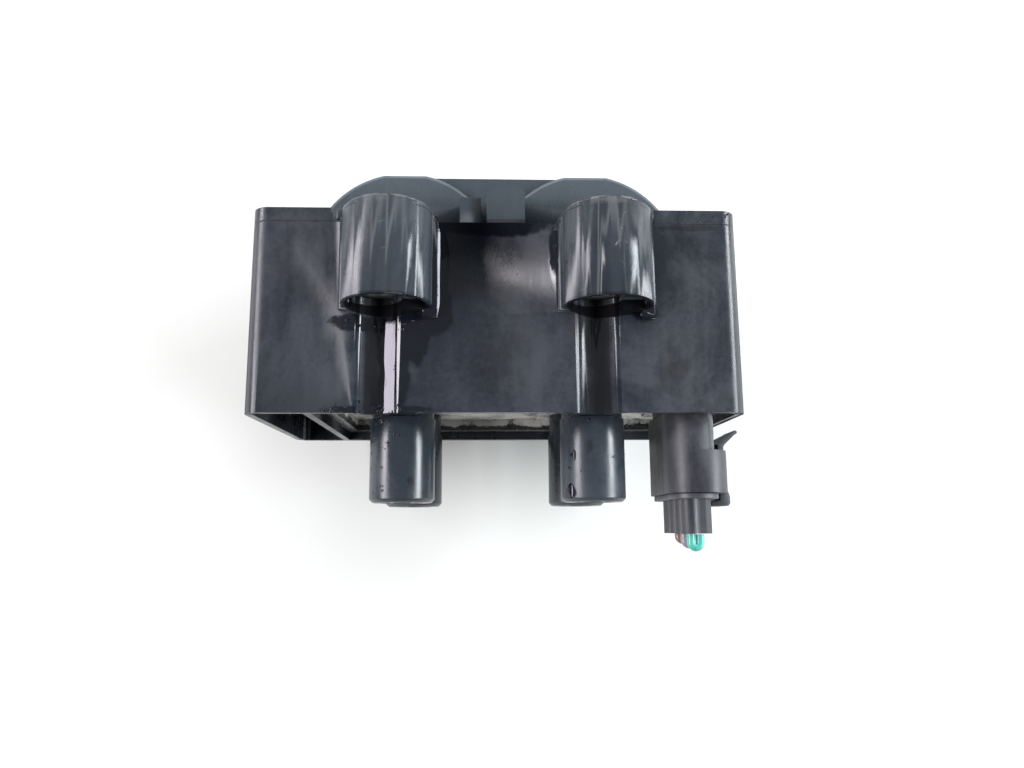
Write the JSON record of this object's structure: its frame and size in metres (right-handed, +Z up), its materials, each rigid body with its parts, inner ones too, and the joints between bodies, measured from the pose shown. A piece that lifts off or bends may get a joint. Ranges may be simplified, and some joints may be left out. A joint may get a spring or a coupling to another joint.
{
  "type": "ignition coil pack",
  "caption": "Moulded ignition coil pack with high-tension towers, domed base, bolt bosses and a latched low-voltage plug that pulls off",
  "frame": {"origin": "centre of the mounting bolt pattern, on the mounting plane at the bosses' ends", "axes": "+Y out of the mounting face along the bolts, the towers pointing to -Y; +X along the case; +Z up as the pack lies on its rear bosses"},
  "size_m": [0.1132, 0.0906, 0.084],
  "materials": {
    "case_plastic": "satin moulded, dusty",
    "tower_plastic": "satin moulded",
    "header_plastic": "satin moulded",
    "plug_plastic": "fine-grained",
    "latch_plastic": "fine-grained",
    "lock_plastic": "fine-grained",
    "resin": "cast, dusty",
    "lamination_steel": "stacked laminations",
    "bush_steel": "rolled, zinc plated",
    "shim_film": "film",
    "bobbin_plastic": "moulded",
    "primary_copper": "enamelled wire",
    "secondary_copper": "fine enamelled wire",
    "terminal_brass": "stamped",
    "seal_rubber": "silicone",
    "wire_green": "insulation",
    "wire_grey": "insulation",
    "wire_brown": "insulation"
  },
  "bodies": {
    "coil": {"case": "case_plastic", "potting_resin": "resin", "core_e": "lamination_steel", "core_bar": "lamination_steel", "mounting_bushes": "bush_steel", "gap_shim_left": "shim_film", "primary_bobbin_left": "bobbin_plastic", "primary_winding_left": "primary_copper", "secondary_bobbin_left": "bobbin_plastic", "secondary_winding_left": "secondary_copper", "gap_shim_right": "shim_film", "primary_bobbin_right": "bobbin_plastic", "primary_winding_right": "primary_copper", "secondary_bobbin_right": "bobbin_plastic", "secondary_winding_right": "secondary_copper", "tower_left_front": "tower_plastic", "ht_terminal_left_front": "terminal_brass", "tower_left_rear": "tower_plastic", "ht_terminal_left_rear": "terminal_brass", "tower_right_front": "tower_plastic", "ht_terminal_right_front": "terminal_brass", "tower_right_rear": "tower_plastic", "ht_terminal_right_rear": "terminal_brass", "connector_header": "header_plastic", "header_pin_green": "terminal_brass", "header_pin_grey": "terminal_brass", "header_pin_brown": "terminal_brass"},
    "plug": {"plug_housing": "plug_plastic", "plug_seal": "seal_rubber", "plug_rear_lock": "lock_plastic", "wire_seals": "seal_rubber", "plug_terminal_green": "terminal_brass", "plug_terminal_grey": "terminal_brass", "plug_terminal_brown": "terminal_brass", "wire_green": "wire_green", "wire_grey": "wire_grey", "wire_brown": "wire_brown"},
    "latch": {"plug_latch": "latch_plastic"}
  },
  "joints": [
    {"name": "plug_slide", "type": "slide", "parent": "coil", "child": "plug", "axis": [0, -1, 0], "range_m": [0, 0.016], "deforming": ["plug_latch"]},
    {"name": "latch_hinge", "type": "hinge", "parent": "plug", "child": "latch", "pos_m": [0.0548, -0.05845, 0.0117], "axis": [0, 0, -1], "range_deg": [0, 8], "stiffness_Nm_per_rad": 0.02}
  ]
}
